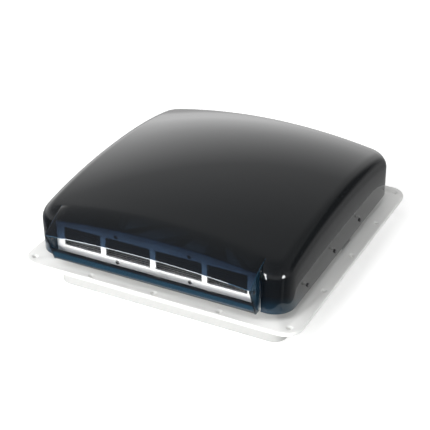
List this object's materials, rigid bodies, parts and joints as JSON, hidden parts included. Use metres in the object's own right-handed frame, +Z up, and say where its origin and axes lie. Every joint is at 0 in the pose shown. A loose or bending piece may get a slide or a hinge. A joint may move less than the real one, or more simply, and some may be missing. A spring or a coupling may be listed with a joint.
{
  "type": "roof ventilator with a lifting lid",
  "caption": "Roof ventilator for a square roof opening: screwed flange and collar, electric fan, and a smoked dome lid with a screened mouth that lifts on arms.",
  "frame": {"origin": "centre of the whole outline, on the plane of the collar's lower rim", "axes": "+Z up out of the roof, -Y towards the mouth, +X to the right as seen from the mouth"},
  "size_m": [0.415, 0.4284, 0.158],
  "materials": {
    "white_moulding": "injection moulded, satin",
    "smoked_sheet": "smoked clear polycarbonate, polished",
    "seal_rubber": "matt foam rubber",
    "black_moulding": "moulded, satin",
    "steel": "plated",
    "arm_steel": "zinc plated",
    "brass": "machined",
    "insect_mesh": "woven coated glass fibre",
    "circuit_board": "coated board",
    "grey_button": "moulded, satin"
  },
  "bodies": {
    "base": {"base_flange": "white_moulding", "lid_seal": "seal_rubber", "fan_deck": "white_moulding", "motor_spider": "white_moulding", "motor_case": "steel", "motor_cover": "white_moulding", "screen_ring": "white_moulding", "screen_mesh": "insect_mesh", "control_housing": "white_moulding", "control_board": "circuit_board", "cable_gland": "black_moulding", "shaft_bearing_left": "black_moulding", "shaft_bearing_right": "black_moulding", "rear_bracket_left": "arm_steel", "rear_bracket_right": "arm_steel", "rear_pin_left": "steel", "rear_pin_right": "steel", "worm_housing": "arm_steel"},
    "fan": {"impeller": "white_moulding", "motor_shaft": "steel", "hub_nut": "black_moulding"},
    "front_arms": {"cross_shaft": "steel", "worm_wheel": "brass", "front_arm_left": "arm_steel", "front_arm_right": "arm_steel"},
    "rear_arm_left": {"rear_arm_left": "arm_steel"},
    "rear_arm_right": {"rear_arm_right": "arm_steel"},
    "lid": {"lid_dome": "smoked_sheet", "mouth_frame": "smoked_sheet", "vent_grille": "white_moulding", "grille_screen": "insect_mesh", "lid_frame": "white_moulding", "cheek_pin_left": "black_moulding", "cheek_pin_right": "black_moulding", "grille_screw_1": "steel", "grille_screw_2": "steel", "grille_screw_3": "steel", "grille_screw_4": "steel", "dome_screw_left_1": "black_moulding", "dome_screw_left_2": "black_moulding", "dome_screw_left_3": "black_moulding", "dome_screw_right_1": "black_moulding", "dome_screw_right_2": "black_moulding", "dome_screw_right_3": "black_moulding", "lid_pin_front_left": "steel", "lid_pin_front_right": "steel", "lid_pin_rear_left": "steel", "lid_pin_rear_right": "steel"},
    "crank": {"worm": "steel", "crank_knob": "black_moulding"},
    "latch_1": {"screen_latch_1": "white_moulding"},
    "latch_2": {"screen_latch_2": "white_moulding"},
    "latch_3": {"screen_latch_3": "white_moulding"},
    "latch_4": {"screen_latch_4": "white_moulding"},
    "button_power": {"button_power": "grey_button"},
    "button_direction": {"button_direction": "grey_button"},
    "button_slower": {"button_slower": "grey_button"},
    "button_faster": {"button_faster": "grey_button"}
  },
  "joints": [
    {"name": "fan_spin", "type": "hinge", "parent": "base", "child": "fan", "pos_m": [0, 0.00675, 0.049], "axis": [0, 0, 1], "continuous": true},
    {"name": "front_lift", "type": "hinge", "parent": "base", "child": "front_arms", "pos_m": [0, -0.13825, 0.066], "axis": [1, 0, 0], "range_deg": [0, 55]},
    {"name": "lid_level", "type": "hinge", "parent": "front_arms", "child": "lid", "pos_m": [0, -0.01825, 0.066], "axis": [1, 0, 0], "range_deg": [-55, 0]},
    {"name": "rear_lift_left", "type": "hinge", "parent": "base", "child": "rear_arm_left", "pos_m": [-0.17325, 0.02675, 0.066], "axis": [1, 0, 0], "range_deg": [0, 55]},
    {"name": "rear_lift_right", "type": "hinge", "parent": "base", "child": "rear_arm_right", "pos_m": [0.17325, 0.02675, 0.066], "axis": [1, 0, 0], "range_deg": [0, 55]},
    {"name": "crank_turn", "type": "hinge", "parent": "base", "child": "crank", "pos_m": [0.132, -0.12025, 0.066], "axis": [0, 0, 1], "range_deg": [-1430, 0]},
    {"name": "latch_turn_1", "type": "hinge", "parent": "base", "child": "latch_1", "pos_m": [0.1642, 0.00675, 0.0225], "axis": [0, 0, 1], "range_deg": [0, 90]},
    {"name": "latch_turn_2", "type": "hinge", "parent": "base", "child": "latch_2", "pos_m": [0, 0.17095, 0.0225], "axis": [0, 0, 1], "range_deg": [0, 90]},
    {"name": "latch_turn_3", "type": "hinge", "parent": "base", "child": "latch_3", "pos_m": [-0.1642, 0.00675, 0.0225], "axis": [0, 0, 1], "range_deg": [0, 90]},
    {"name": "latch_turn_4", "type": "hinge", "parent": "base", "child": "latch_4", "pos_m": [0, -0.15745, 0.0225], "axis": [0, 0, 1], "range_deg": [0, 90]},
    {"name": "power_press", "type": "slide", "parent": "base", "child": "button_power", "axis": [0, 0, 1], "range_m": [0, 0.0012], "stiffness_N_per_m": 400, "springref_m": -0.0008},
    {"name": "direction_press", "type": "slide", "parent": "base", "child": "button_direction", "axis": [0, 0, 1], "range_m": [0, 0.0012], "stiffness_N_per_m": 400, "springref_m": -0.0008},
    {"name": "slower_press", "type": "slide", "parent": "base", "child": "button_slower", "axis": [0, 0, 1], "range_m": [0, 0.0012], "stiffness_N_per_m": 400, "springref_m": -0.0008},
    {"name": "faster_press", "type": "slide", "parent": "base", "child": "button_faster", "axis": [0, 0, 1], "range_m": [0, 0.0012], "stiffness_N_per_m": 400, "springref_m": -0.0008}
  ],
  "couplings": [
    {"joint": "lid_level", "follows": "front_lift", "ratio": -1},
    {"joint": "rear_lift_left", "follows": "front_lift", "ratio": 1},
    {"joint": "rear_lift_right", "follows": "front_lift", "ratio": 1},
    {"joint": "crank_turn", "follows": "front_lift", "ratio": -26}
  ]
}
